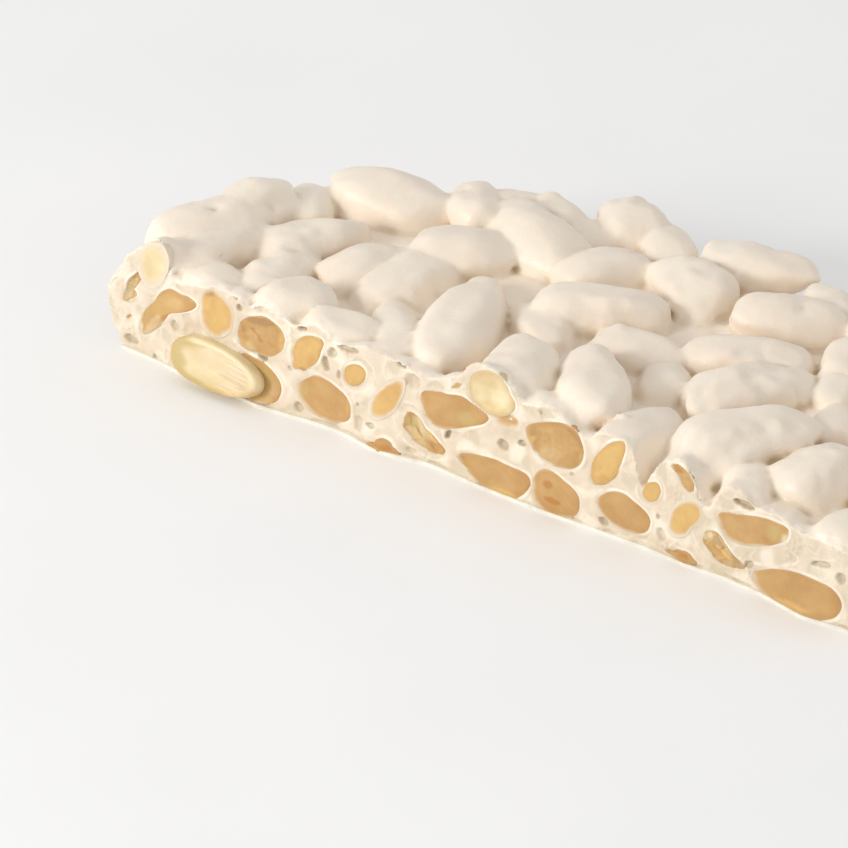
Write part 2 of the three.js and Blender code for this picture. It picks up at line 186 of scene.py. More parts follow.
COVER = 0.5  # nougat over an almond that the cut went through
POCKET = 2.2  # depth of the nougat's face behind a cut almond
PROUD = 0.1  # how far a cut almond's face stands out of the nougat
LOWEST = 0.2  # the height at which the cut almonds end below
WHOLE_ALMOND = dict(x=-64.4, y=-2.1, z=5.35, length=21.8, width=9.3, thickness=4.4, lean=-4, tip=70)
WHOLE_SEAT = (WHOLE_ALMOND["x"], WHOLE_ALMOND["z"], WHOLE_ALMOND["lean"], 18.4, 8)  # the oval that it sits in

# Small hollows in the nougat of the cut: the oval, its depth, and the strength of the painted shade in it.
CUT_PITS = (
    (-61.4, 21.3, 0, 0.9, 1.9, 0.7, 0.5), (-60.5, 19.1, 0, 1.3, 1.2, 0.8, 0.8),
    (-55.9, 20.9, 0, 2.4, 1.9, 0.4, 0.4), (-54.7, 10.2, 0, 2.1, 2, 1, 0.9),
    (-76.9, 9.4, 30, 2, 2.4, 0.5, 0.5), (-81.7, 0.9, 0, 1, 1, 0.5, 0.5), (-88, 2.6, -5, 3.4, 1.7, 0.9, 0.5),
    (-44.9, 19.7, 15, 2.4, 0.9, 1.2, 0.3), (-48, 9.9, 0, 0.9, 0.9, 0.4, 0.5),
    (-45.4, 2.4, 0, 2.2, 2, 0.7, 0.6), (-30.8, 3.8, 0, 2, 3.2, 0.5, 0.35), (-27.5, 21.6, 0, 1.5, 0.8, 1, 1),
    (-20.2, 20.8, -10, 3.4, 2, 1.4, 0.9), (-17.5, 17.6, 0, 3.6, 3.4, 0.9, 0.3),
    (-39, 14.1, 10, 1.5, 3.2, 1, 0.45), (-37.4, 17, 45, 2.2, 1.9, 1, 0.45),
    (-33.5, 19.2, 5, 5, 1.2, 0.9, 0.6), (-9, 8.9, 60, 2.2, 0.9, 1, 1), (-18, 2.2, 0, 2.4, 1.2, 0.5, 0.3),
    (-27.9, 4.4, 0, 2, 1, 0.6, 0.6), (-31.1, 7.8, 0, 0.6, 0.7, 0.4, 0.5),
    (-35.8, 12.8, 0, 0.9, 1.8, 0.5, 0.5), (4.5, 11.4, 0, 2.4, 2.2, 0.7, 0.8),
    (8.9, 13.3, 0, 1.7, 1.2, 0.7, 0.8), (13.7, 21.7, 0, 0.7, 0.7, 0.4, 0.6),
    (-10.9, 5, 0, 2, 2.4, 0.6, 0.6), (28.2, 2.8, 0, 2.2, 2, 0.7, 0.7), (21.2, 10.9, 0, 0.9, 0.9, 0.4, 0.5),
    (42.3, 5.2, 0, 1.9, 3.2, 0.5, 0.4), (41.9, 9.1, 0, 0.7, 1.4, 0.4, 0.5), (46, 21, 0, 2.4, 1.2, 0.6, 0.6),
    (61.8, 18.9, -5, 4.6, 1.5, 1.1, 0.8), (80, 12.4, 15, 4.8, 1.3, 0.8, 0.5),
    (84.6, 11, 0, 2, 2.4, 0.8, 0.6), (63.2, 6.3, 30, 2.4, 1.4, 0.7, 0.7),
    (51.3, 16.9, 0, 0.8, 1.8, 0.4, 0.5),
)

# Smooth valleys that come down to the cut between two coated almonds: x and height of the floor, lean, width,
# and how far back they go.
VALLEYS = (
    (35, 12.4, 0.4, 1.9, 9), (53.4, 14.6, 0, 2.4, 7), (-78.6, 19, 0, 0.9, 2.6),
)

# Ovals round which a thin film of nougat stands.
FILMS = (
    (65.8, 12.9, 13, 22, 11.4), (40.2, 14.1, 50, 7.8, 6.2), (56, 7.6, -38, 15.5, 8.8),
    (-15.6, 7.2, -29, 14.8, 9), (-31, 14.4, 41, 9.4, 7), (-83.6, 5.2, 50, 6, 2.6),
)

# Marks on the cut almonds, by their colour: the oval and its strength.
MARKS = {
    "dark": (
        (-88.3, 15, -20, 2.5, 5, 0.4), (-68.6, 20, 10, 4.2, 2.4, 0.75), (-55, 18, 10, 9, 2.6, 0.7),
        (-60, 15.5, 20, 1.2, 4, 0.6), (-56.2, 14.6, -30, 3.8, 0.9, 0.6), (-44.8, 10.7, 0, 1.8, 1, 1),
        # The mark at -11.2, 7.6 is a painted shadow along an almond's right edge.
        (-16.4, 7.2, -45, 3, 0.7, 0.9), (-11.2, 7.6, -45, 3.5, 0.8, 0.6), (-15.5, 16.4, 30, 2.8, 1.6, 0.5),
        (-6.2, 5.2, 20, 3, 1.8, 0.8), (16.6, 3.3, 0, 3, 0.9, 0.5), (22.4, 19, -50, 4, 1.4, 0.6),
        (28, 11, 10, 2.4, 0.9, 1), (60.2, 6.2, -40, 3, 1.4, 0.6),
    ),
    "gold": (
        (-82.7, 22.5, 66, 6, 4.5, 0.12), (-79, 13, 30, 12, 7, 0.4), (-49.8, 15, -10, 2, 4.8, 0.9),
        (-59, 11.6, -20, 4, 2, 0.6), (-49.6, 12.2, 0, 2.6, 2.2, 0.8), (-54, 1.6, 0, 8, 2, 0.6),
        (-33.2, 7, 80, 5, 1.6, 0.5), (-12.8, 6.9, -40, 3, 1.2, 0.9), (2.4, 18.8, 0, 7, 3, 0.35),
        (5, 1, 0, 8, 1.6, 0.7), (11.6, 15.2, 60, 2.2, 1.3, 0.8), (57.2, 6.7, -35, 4, 1.4, 0.9),
        (53.6, 7.4, 60, 1.8, 1, 1), (73.5, 1.4, 5, 9, 1.6, 0.6),
    ),
    "olive": (
        (-84.6, 9, -25, 2.4, 5.5, 0.6), (-54, 6, 0, 10, 9, 0.35), (-44.5, 6.9, 70, 4, 2.8, 0.6),
        (-18.2, 8.6, -30, 4.5, 3.5, 0.7), (-4, 14, 0, 5, 3.5, 0.8), (0.4, 24.4, 0, 6, 4, 0.2),
        (23.3, 14.9, 80, 3.5, 1.2, 0.8), (69.6, 15.4, 10, 4.5, 4, 0.8), (65.9, 5.8, 0, 4, 2.4, 0.6),
    ),
    "brown": (
        (-73.6, 15.6, 0, 3, 3.4, 0.25), (-80.6, 9.6, 42, 5.5, 1, 0.7), (-56.3, 14.6, -30, 4.4, 1.2, 0.35),
        (-52.4, 13.8, -20, 2, 0.9, 0.4), (-42, 13.2, 50, 4, 4, 0.4), (-40.3, 16, 65, 4, 1.4, 0.35),
        (-24, 1.4, 0, 4, 1.6, 0.7), (-12.9, 4.9, -35, 4, 1.6, 0.35), (15.4, 6.7, 30, 2.6, 1.8, 0.9),
        (16.4, 3.4, 0, 4, 1.5, 1), (14.8, 1.2, 0, 6, 3, 0.25), (20.8, 20.2, -30, 2.6, 1, 0.7),
        (28.9, 12.6, 20, 4, 2.4, 0.4), (46.5, 21.1, -40, 2.6, 1.6, 0.8), (47.2, 2.2, 10, 3, 1.4, 0.7),
        (67.1, 13.2, 0, 1.7, 1.4, 0.4),
    ),
    "pale": (
        (-87.4, 11, 0, 1.6, 0.9, 0.9), (-82.4, 7.8, 54, 7, 2.2, 0.35), (-86, 6.6, 0, 2.2, 2.4, 0.7),
        (-77, 14.4, 20, 5, 2.4, 0.12), (-57.4, 11.6, -20, 3, 2.2, 0.2), (15.5, 13.2, 20, 6, 4, 0.2),
        (53.4, 9.3, 0, 2.5, 2.5, 0.7), (72, 14.5, 60, 5, 2.6, 0.9),
    ),
}
MARK_REACH = 12  # a mark colours the almonds whose middle is nearer than this

# Ovals where a chip of almond shows in the nougat of the cut.
CHIPS = (
    (5.4, 17.3, 5, 6, 3), (-6.8, 20.4, 35, 3, 0.8), (-78.6, 21.2, 0, 2, 1), (-88.6, 7.4, 50, 1.6, 0.7),
    (-44.7, 19.8, 15, 2.3, 0.9),
)

# Dents and crumbs in the coat: x, y, size, depth. A crumb's depth is below 0.
DENTS = (
    (-88.4, 23, 1.6, 0.6), (-50.2, 35.3, 1.2, 0.5), (-47, 20, 1, 0.4), (-47.7, 1.2, 1.2, 0.5),
    (-51.9, 59.1, 1.3, 0.5), (-18.6, 56.2, 1.8, 0.4), (-14, 65.2, 1.2, 0.5), (30.1, 61.5, 1.6, 0.4),
    (46, 38.5, 1.3, 0.7), (28.2, 6.8, 0.9, -0.9), (27.2, 6.2, 0.5, -0.7), (63, 30, 1.2, 0.5),
    (-20, 40, 1, 0.4), (59, 14.5, 1.6, 1.2), (-82.9, 19.6, 1.4, 0.7), (-81.1, 24.7, 2, -0.5),
    (-76, 29.9, 1.2, 0.5), (-72.4, 27.8, 2.2, 0.5), (-12.1, 62.6, 1.2, 0.5), (30.5, 60.2, 1.4, 0.4),
    (4, 36.7, 1.6, -0.4), (6.9, 62, 2.2, 0.4),
)


# ---- small helpers ----
def place(x, y, z):
    return ZERO + Vector((x, y, z)) * MM


def only(obj):
    bpy.ops.object.select_all(action="DESELECT")
    obj.select_set(True)
    bpy.context.view_layer.objects.active = obj


def finish_by(obj, kind, **settings):
    """Adds one modifier with its settings and applies it."""
    only(obj)
    modifier = obj.modifiers.new(kind.title(), kind)
    for key, value in settings.items():
        setattr(modifier, key, value)
    bpy.ops.object.modifier_apply(modifier=modifier.name)


def rows(items, name):
    """A vector of every item, one in each row."""
    flat = np.empty(len(items) * 3, np.float32)
    items.foreach_get(name, flat)
    return flat.reshape(-1, 3).astype(float)


def coordinates(obj):
    return rows(obj.data.vertices, "co")


def normals(obj):
    return rows(obj.data.vertex_normals, "vector")


def in_slab(obj):
    """Each point in the slab's millimetres."""
    return (coordinates(obj) - np.array(ZERO)) / MM


def set_coordinates(obj, points):
    obj.data.vertices.foreach_set("co", np.asarray(points, np.float32).ravel())
    obj.data.update()


def set_in_slab(obj, local):
    set_coordinates(obj, local * MM + np.array(ZERO))


def attributes(obj, **layers):
    """Colour layers: one value each, or one for every point."""
    for name, values in layers.items():
        layer = obj.data.attributes.new(name, "FLOAT", "POINT")
        layer.data.foreach_set("value", np.full(len(obj.data.vertices), values, np.float32))


def noise_at(points, size, seed):
    """Smooth noise between about -1 and 1 at each point. size is in the points' own unit."""
    scaled = points / size + 31.7 * seed
    return np.array([noise.noise(p) for p in scaled])


def rise(values, start, end):
    """0 up to start, 1 from end on, and smooth between them."""
    t = np.clip((values - start) / (end - start), 0, 1)
    return t * t * (3 - 2 * t)


def ridges(points, size, seed, narrow):
    """Thin crests, 1 on top and 0 between them."""
    return np.clip(1 - narrow * np.abs(noise_at(points, size, seed)), 0, 1)


def cells(x, z, size, seed):
    """Cells like a foam's: how far each point lies inside its cell, and a value from 0 to 1 for the cell."""
    x, z = x / size, z / size
    column, row = np.floor(x), np.floor(z)
    first, second, value = np.full((3, len(x)), 9.0)
    for i in (-1, 0, 1):
        for j in (-1, 0, 1):
            code = np.sin((column + i) * 127.1 + (row + j) * 311.7 + seed * 74.7) * 4375.85
            far = np.hypot(column + i + code % 1 - x, row + j + code * 7.3 % 1 - z)
            second = np.minimum(second, np.maximum(first, far))
            value = np.where(far < first, code * 3.7 % 1, value)
            first = np.minimum(first, far)
    return (second - first) * size / 2, value


def edit(operator, **settings):
    """Runs one operator on the active mesh in edit mode."""
    bpy.ops.object.mode_set(mode="EDIT")
    operator(**settings)
    bpy.ops.object.mode_set(mode="OBJECT")


def joined(objects, name):
    only(objects[0])
    for obj in objects:
        obj.select_set(True)
    bpy.ops.object.join()
    return named(objects[0], name)


def bisected(obj, point, normal):
    """Cuts obj by a plane and keeps the side that the normal points to."""
    only(obj)
    edit(bpy.ops.mesh.select_all, action="SELECT")
    edit(
        bpy.ops.mesh.bisect, plane_co=point, plane_no=normal, use_fill=True, clear_inner=True, threshold=1e-7
    )


def select_none(obj, mode):
    only(obj)
    edit(bpy.ops.mesh.select_mode, type=mode)
    edit(bpy.ops.mesh.select_all, action="DESELECT")


def matrix_of(x, y, z, length, width, thickness, turn=0, lean=0, tip=0):
    """Where a form of radius 1 goes: tip is about X, lean about Y and turn about Z, in degrees."""
    turned = Euler([math.radians(angle) for angle in (tip, -lean, turn)], "XYZ")
    return Matrix.LocRotScale(place(x, y, z), turned, Vector((length, width, thickness)) * MM / 2)


def ball(segments, rings, turned):
    """A ball of radius 1 with its poles turned to another axis."""
    bpy.ops.mesh.primitive_uv_sphere_add(segments=segments, ring_count=rings, radius=1, rotation=turned)
    bpy.ops.object.transform_apply(location=False, rotation=True, scale=False)
    return bpy.context.object


def disc(sides, inset, low, high):
    """An upright cylinder from low to high, its side this far inside the rim."""
    bpy.ops.mesh.primitive_cylinder_add(
        vertices=sides, radius=(RIM_RADIUS - inset) * MM, depth=(high - low) * MM,
        location=place(0, RIM_CENTRE_Y, (low + high) / 2),
    )
    bpy.ops.object.transform_apply(location=True, rotation=False, scale=False)
    return bpy.context.object


def almond_blank(segments, rings, fullness, taper):
    """A round form of radius 1 along X, slimmer towards its pointed end. Fullness above 2 makes it blunter."""
    obj = ball(segments, rings, (0, math.pi / 2, 0))
    points = coordinates(obj)
    points /= ((np.abs(points) ** fullness).sum(axis=1) ** (1 / fullness))[:, None]
    points[:, 1:] *= 1 - taper * points[:, :1]
    set_coordinates(obj, points)
    return obj


def faceted(points, seed, share):
    """A ball's points on a softly faceted form that fills the same box. share 0 leaves the ball round."""
    count, sharp = 14, 10  # how many facets, and how sharp the edges between them
    steps = np.arange(count)
    up = 1 - 2 * (steps + 0.5) / count
    out, around = np.sqrt(1 - up**2), steps * 2.4
    spun = np.array(Euler((seed * 1.3, seed * 2.1, seed * 0.7)).to_matrix())
    faces = np.stack([out * np.cos(around), out * np.sin(around), up], 1) @ spun
    faces /= (0.96 + 0.06 * np.sin(steps * 1.7 + seed))[:, None]
    direction = points / np.linalg.norm(points, axis=1)[:, None]
    reach = (np.maximum(direction @ faces.T, 0) ** sharp).sum(axis=1) ** (-1 / sharp)
    formed = points * (1 + share * (reach / reach.mean() - 1))[:, None]
    low, high = formed.min(axis=0), formed.max(axis=0)
    return (2 * formed - low - high) / (high - low)


def copy_of(blank):
    obj = blank.copy()
    obj.data = blank.data.copy()
    bpy.context.scene.collection.objects.link(obj)
    return obj


def discard(obj):
    mesh = obj.data
    bpy.data.objects.remove(obj)
    bpy.data.meshes.remove(mesh)


def named(obj, name):
    obj.name = obj.data.name = name
    return obj


def finished(obj, material):
    """Gives a round piece its material and a smooth shade."""
    obj.data.materials.clear()
    obj.data.materials.append(material)
    only(obj)
    bpy.ops.object.shade_smooth()
    return obj


# ---- where the cut's face lies, and what shows in it ----
# The cut's lower edge: x, how far it stands back.
CUT_WAVES = (
    (-92, 0), (-80, -0.4), (-68.5, -2.2), (-61, -1.6), (-53.6, -1.9), (-44, -0.6), (-36, 0.2), (-25, -1.5),
    (-14, 0.9), (0, 0.2), (14, 0.2), (25, 0.8), (39, 1.4), (47, 0.9), (55, 1.6), (65, 1.3), (76.5, -0.8),
    (85, 0.2), (92, 0),
)
CUT_CALM = 7  # the height from which the cut is flat
CUT_WAVE_BACK = 6  # how far behind the cut its waves end


def cut_wave(x, z):
    """How far the cut's face stands back, in millimetres: wavy at its lower edge, flat from CUT_CALM up."""
    xs, ys = zip(*CUT_WAVES)
    return np.interp(x, xs, ys) * (1 - rise(z, 0, CUT_CALM))


def outline_at(angle, outline):
    """An outline's reach at each angle, smooth between its even steps."""
    steps = np.asarray(outline, float) / 100
    at = angle / (2 * math.pi) * len(steps) % len(steps)
    low = np.floor(at).astype(int)
    t = at - low
    a, b, c, d = (steps[(low + shift) % len(steps)] for shift in (-1, 0, 1, 2))
    return b + 0.5 * t * (c - a + t * (2 * a - 5 * b + 4 * c - d + t * (3 * (b - c) + d - a)))


def outline_distance(x, z, oval, outline=(100,)):
    """About how far each point of the cut lies outside an oval's outline."""
    cx, cz, turn, length, width = oval
    a, b, angle = length / 2, width / 2, math.radians(turn)
    u = ((x - cx) * math.cos(angle) + (z - cz) * math.sin(angle)) / a
    v = ((z - cz) * math.cos(angle) - (x - cx) * math.sin(angle)) / b
    far = np.maximum(np.hypot(u, v), 1e-4)
    steep = np.maximum(np.hypot(u / a, v / b) / far, 1e-4)
    return (far - outline_at(np.arctan2(v, u), outline)) / steep


def spots(x, z, ovals, ragged):
    """The ovals' strengths inside them, fading at their edges. ragged shifts each point's distance."""
    depth = np.zeros(len(x))
    for *oval, strength in ovals:
        size = min(oval[3], oval[4])
        inside = 1 - rise(outline_distance(x, z, oval) + ragged, -0.35 * size, 0.12 * size + 0.15)
        depth = np.maximum(depth, strength * inside)
    return depth


# ---- materials ----
def srgb(red, green, blue):
    """A colour given as 0 to 255 display values, made linear."""
    return tuple(((c / 255 + 0.055) / 1.055) ** 2.4 for c in (red, green, blue))


class Nodes:
    """Builds a node material step by step."""

    def __init__(self, name):
        self.material = bpy.data.materials.new(name)
        self.material.use_nodes = True
        self.tree = self.material.node_tree
        self.tree.nodes.clear()
        self.shader = self.add("ShaderNodeBsdfPrincipled")
        self.add("ShaderNodeOutputMaterial", {"Surface": self.shader.outputs[0]})
        self.where = self.add("ShaderNodeTexCoord").outputs["Object"]

    def feed(self, node, inputs):
        """Gives a node's inputs their values. A value is another node's socket, a number or a colour."""
        for key, value in inputs.items():
            if isinstance(value, bpy.types.NodeSocket):
                self.tree.links.new(value, node.inputs[key])
            elif isinstance(key, int) and not isinstance(value, float):
                node.inputs[key].default_value = (*value, 1)
            else:
                node.inputs[key].default_value = value

    def add(self, kind, inputs=None, **settings):
        node = self.tree.nodes.new(kind)
        for key, value in settings.items():
            setattr(node, key, value)
        self.feed(node, inputs or {})
        return node

    def set(self, **values):
        """Feeds the shader: Base_Color is its input Base Color."""
        self.feed(self.shader, {key.replace("_", " "): value for key, value in values.items()})

    def value(self, name):
        return self.add("ShaderNodeAttribute", attribute_name=name).outputs["Fac"]

    def noise(self, size, detail=3, rough=0.5):
        """Noise whose patches are about size millimetres across."""
        inputs = {"Vector": self.where, "Scale": 1 / (size * MM), "Detail": detail, "Roughness": rough}
        return self.add("ShaderNodeTexNoise", inputs).outputs["Fac"]

    def specks(self, size, share):
        """Small round specks, one in each cell of the given size, in millimetres."""
        node = self.add("ShaderNodeTexVoronoi", {"Vector": self.where, "Scale": 1 / (size * MM)})
        return self.ramp(node.outputs["Distance"], (share * 0.6, 1.0), (share, 0.0))

    def ramp(self, source, low, high):
        """A ramp between two stops, each a position and a grey or a colour."""
        node = self.add("ShaderNodeValToRGB", {"Fac": source})
        for element, (position, colour) in zip(node.color_ramp.elements, (low, high)):
            element.position = position
            element.color = (colour, colour, colour, 1) if isinstance(colour, float) else (*colour, 1)
        return node.outputs["Color"]

    def mix(self, amount, first, second):
        return self.add("ShaderNodeMix", {0: amount, 6: first, 7: second}, data_type="RGBA").outputs[2]

    def combine(self, operation, first, second):
        return self.add("ShaderNodeMath", {0: first, 1: second}, operation=operation).outputs[0]

    def bump(self, height, depth):
        """Low relief, depth in millimetres for a height of 1."""
        self.set(Normal=self.add("ShaderNodeBump", {"Height": height, "Distance": depth * MM}).outputs[0])

    def glow(self, weight, reach):
        """Light that goes into the food and comes out again up to reach millimetres away."""
        self.set(Subsurface_Weight=weight, Subsurface_Radius=(1.0, 0.62, 0.36), Subsurface_Scale=reach * MM)


def nougat_material(colours):
    n = Nodes("Ivory nougat")
    fine = n.noise(2.2, 4)
    coat = n.ramp(n.noise(14, 2), (0.3, colours.coat_shade), (0.7, colours.coat))
    coat = n.mix(n.ramp(fine, (0.5, 0.0), (0.8, 0.25)), coat, colours.coat_light)
    # Painted shade: the creases between the coated almonds are darkened, and the deepest ones more.
    coat = n.mix(n.ramp(n.value("crease"), (0.15, 0.0), (1.0, 0.9)), coat, colours.crease)
    coat = n.mix(n.ramp(n.value("crease"), (0.75, 0.0), (1.0, 0.45)), coat, colours.shade_and_specks)
    coat = n.mix(n.specks(11, 0.022), coat, colours.shade_and_specks)
    body = n.ramp(n.noise(3.5, 3), (0.3, colours.cut_shade), (0.65, colours.cut))
    body = n.mix(n.value("clear"), body, colours.clear)
    body = n.mix(n.value("shell"), body, colours.shell)
    body = n.mix(n.specks(4, 0.035), body, colours.shade_and_specks)
    body = n.mix(n.value("chip"), body, colours.tan)
    # Painted shade in the pits of the cut and in the seams by the almonds' lower left edges.
    body = n.mix(n.value("shade_and_specks"), body, colours.shade_and_specks)
    n.set(Base_Color=n.mix(n.value("cut"), coat, body), Roughness=n.ramp(fine, (0.3, 0.36), (0.7, 0.5)))
    n.bump(n.combine("ADD", n.noise(1.4, 4), n.combine("MULTIPLY", n.noise(5, 2), 1.6)), 0.1)
    n.glow(0.3, 1.1)
    n.set(Specular_IOR_Level=0.4)
    return n.material


def almond_material(name, light, dark, colours):
    n = Nodes(name)
    tone = n.ramp(n.noise(5, 3), (0.35, dark), (0.65, light))
    tone = n.mix(n.ramp(n.noise(1.1, 4, 0.6), (0.6, 0.0), (0.8, 0.2)), tone, colours.gold)
    for mark in MARKS:
        tone = n.mix(n.value(mark), tone, getattr(colours, mark))
    n.set(Base_Color=n.mix(n.value("film"), tone, colours.cut))
    n.bump(n.noise(0.9, 4), 0.07)
    n.glow(0.25, 1.0)
    n.set(Roughness=0.4, Specular_IOR_Level=0.4)
    return n.material


# ---- the nougat ----
def core_blank():
    """The nougat between the almonds: a round slab with a rounded upper edge."""
    core = disc(180, CORE_INSET, -CORE_BELOW, CORE_TOP)
    select_none(core, "EDGE")
    top = ZERO.z + CORE_TOP * MM
    for edge in core.data.edges:
        edge.select = all(abs(core.data.vertices[v].co.z - top) < 1e-5 for v in edge.vertices)
    edit(bpy.ops.mesh.bevel, offset=CORE_EDGE * MM, segments=8, profile=0.5)
    bisected(core, place(0, -CORE_FRONT, 0), (0, 1, 0))
    return core


def lump_forms():
    """Place and size of each form that swells the nougat: almonds, heaps and the edge along the cut."""
    forms = []
    for x, y, turn, length, width, crest in (*TOP_ALMONDS, *HEAPS):
        deep = FLATNESS * width
        forms.append(dict(x=x, y=y, z=crest - deep / 2, turn=turn, length=length, width=width, thickness=deep))
    rim = RIM_ALMONDS
    out = RIM_RADIUS - rim["inset"]
    for i in range(rim["count"]):
        around = RIM_END + (math.pi - 2 * RIM_END) * i / (rim["count"] - 1)
        forms.append(dict(
            x=out * math.cos(around), y=RIM_CENTRE_Y + out * math.sin(around),
            z=rim["centre"] + math.cos(4 * i), turn=math.degrees(around) + 90 + rim["swing"] * math.sin(5 * i),
            lean=rim["lean"] * math.sin(2.3 * i), length=rim["length"] + 2 * math.sin(2 * i),
            width=rim["width"] + math.cos(3 * i), thickness=FLATNESS * rim["width"],
        ))
    for x, z, turn, length, width, *_ in CUT_ALMONDS:
        forms.append(dict(
            x=x, y=0, z=z, lean=turn, tip=90, length=length + 2 * COVER, width=width + 2 * COVER,
            thickness=2 * cut_depth(length) + COVER,
        ))
    edge_x, edge_z = zip(*CUT_EDGE)
    for x in np.arange(edge_x[0], edge_x[-1], EDGE_STEP):
        forms.append(dict(
            x=x, y=EDGE_BACK, z=np.interp(x, edge_x, edge_z) - EDGE_ROUND / 2, length=EDGE_ROUND,
            width=1.6 * EDGE_ROUND, thickness=EDGE_ROUND,
        ))
    return forms


def cut_depth(length):
    """How deep a cut almond goes behind the cut: deeper where its outline is short."""
    return CUT_DEPTH + CUT_DEPTH_EXTRA * max(CUT_LONG - length, 0)


def lumps(share):
    """The forms as objects, each with its own facets and swells."""
    blank = almond_blank(56, 36, 2.4, 0.15)
    made = []
    for i, form in enumerate(lump_forms()):
        lump = copy_of(blank)
        set_coordinates(lump, faceted(coordinates(lump), i + 1, share))
        lump.data.transform(matrix_of(**form))
        points = coordinates(lump)
        swell = noise_at(points, 8 * MM, i + 1) * 0.5 + noise_at(points, 4 * MM, i + 2) * 0.2
        set_coordinates(lump, points + normals(lump) * swell[:, None] * MM)
        made.append(lump)
    discard(blank)
    return made


def finer_cut(obj):
    """Divides the faces that lie in the cut."""
    select_none(obj, "FACE")
    front = ZERO.y + 0.05 * MM
    chosen = [face for face in obj.data.polygons if face.normal.y < -0.9 and face.center.y < front]
    if not chosen:
        raise RuntimeError("the nougat has no flat cut")
    for face in chosen:
        face.select = True
    edit(bpy.ops.mesh.subdivide, number_cuts=1)


def nougat_piece(sizes, colours):
    mass = joined([core_blank(), *lumps(sizes.facets)], "nougat_mass")
    finish_by(mass, "REMESH", mode="VOXEL", voxel_size=FIRST_GRID * MM)
    carve_valleys(mass)
    carve_rim(mass)
    relax(mass, 0.1 + 0.6 * rise(noise_at(in_slab(mass), 14, 4), 0.1, 0.4), 6)
    bisected(mass, place(0, 0, 0), (0, 1, 0))
    finish_by(mass, "REMESH", mode="VOXEL", voxel_size=sizes.grid * MM)
    bisected(mass, place(0, 0, WAFER_TOP), (0, 0, 1))
    finer_cut(mass)
    plain = sculpt_nougat(mass, sizes)
    thin_out(mass, plain, MOST_TRIANGLES)
    return finished(mass, nougat_material(colours))


def carve_valleys(obj):
    """Lowers what stands over the floor of each valley."""
    local = in_slab(obj)
    x, y, z = local.T
    for middle, floor, lean, width, back in VALLEYS:
        aside = (x - middle - lean * (z - floor)) / width
        near = np.exp(-(aside**2)) * (1 - rise(y, 0, back))
        z -= 0.9 * near * np.maximum(z - floor, 0)
    local[:, 2] = z
    set_in_slab(obj, local)


def carve_rim(obj):
    """Creases between the coated almonds in the wall round the rim, some almonds further in than others."""
    local = in_slab(obj)
    x, y, z = local.T
    out = np.hypot(x, y - RIM_CENTRE_Y)
    around = RIM_RADIUS * np.arctan2(x, y - RIM_CENTRE_Y)
    bent = 1.5 * noise_at(local, 9, 51)
    inside, tone = cells(around / 1.5 + bent, z + bent, RIM_CELL, 52)
    wall = rise(out, RIM_RADIUS - 8, RIM_RADIUS - 4) * rise(y, 2, 9) * (1 - rise(z, 13, 17))
    deep = (RIM_CREASE * (1 - rise(inside, 0, 2.8)) + 0.8 * tone) * wall / out
    local[:, 0] -= deep * x
    local[:, 1] -= deep * (y - RIM_CENTRE_Y)
    set_in_slab(obj, local)


def thin_out(obj, plain, most):
    """Leaves at most this many triangles, taken away where plain is 1 and none where it is 0."""
    group = obj.vertex_groups.new(name="plain")
    group.add(np.flatnonzero(plain > 0.5).tolist(), 1.0, "REPLACE")
    triangles = sum(len(face.vertices) - 2 for face in obj.data.polygons)
    if triangles > most:
        finish_by(obj, "DECIMATE", ratio=most / triangles, vertex_group=group.name)
    obj.vertex_groups.clear()


def sculpt_nougat(mass, sizes):
    """Gives the coat and the cut their relief and colour layers. Returns where the mesh may be thinned."""
    out = normals(mass)
    local = in_slab(mass)
    x, y, z = local.T
    on_cut = (y < 0.05) & (out[:, 1] < -0.5)
    swell = coat_swell(local, sizes.coat_relief) * (1 - on_cut) * rise(z, WAFER_TOP, WAFER_TOP + 1.5)
    moved = local + out * swell[:, None]
    back, pocket, layers = cut_layers(local[on_cut], sizes.cut_relief)
    moved[on_cut, 1] += np.where(pocket > 0.99, POCKET, back + POCKET * pocket)
    moved[:, 1] += cut_wave(x, z) * rise(CUT_WAVE_BACK - y, 0, CUT_WAVE_BACK)
    set_in_slab(mass, moved)
    for name, values in layers.items():
        whole = np.zeros(len(local))
        whole[on_cut] = values
        attributes(mass, **{name: whole})
    # How deep each point lies in the creases: the mask for their painted shade.
    attributes(mass, crease=creases(mass))
    plain = np.ones(len(local))
    plain[on_cut] = pocket > 0.99
    return plain


def coat_swell(local, relief):
    """How far the coat stands out: swells, a rough edge by the cut, bumps in patches, and dents."""
    x, y, z = local.T
    swell = relief * (noise_at(local, 6.5, 3) + 0.4 * noise_at(local, 2.2, 5))
    swell += 0.3 * noise_at(local, 0.9, 6) * (1 - rise(y, 0.5, 2.5)) * rise(z, 8, 12)
    swell += 0.5 * noise_at(local, 3.4, 61) * rise(noise_at(local, 16, 62), -0.05, 0.25)
    for dx, dy, size, depth in DENTS:
        swell -= depth * np.exp(-((x - dx) ** 2 + (y - dy) ** 2) / size**2) * (z > 12)
    return swell


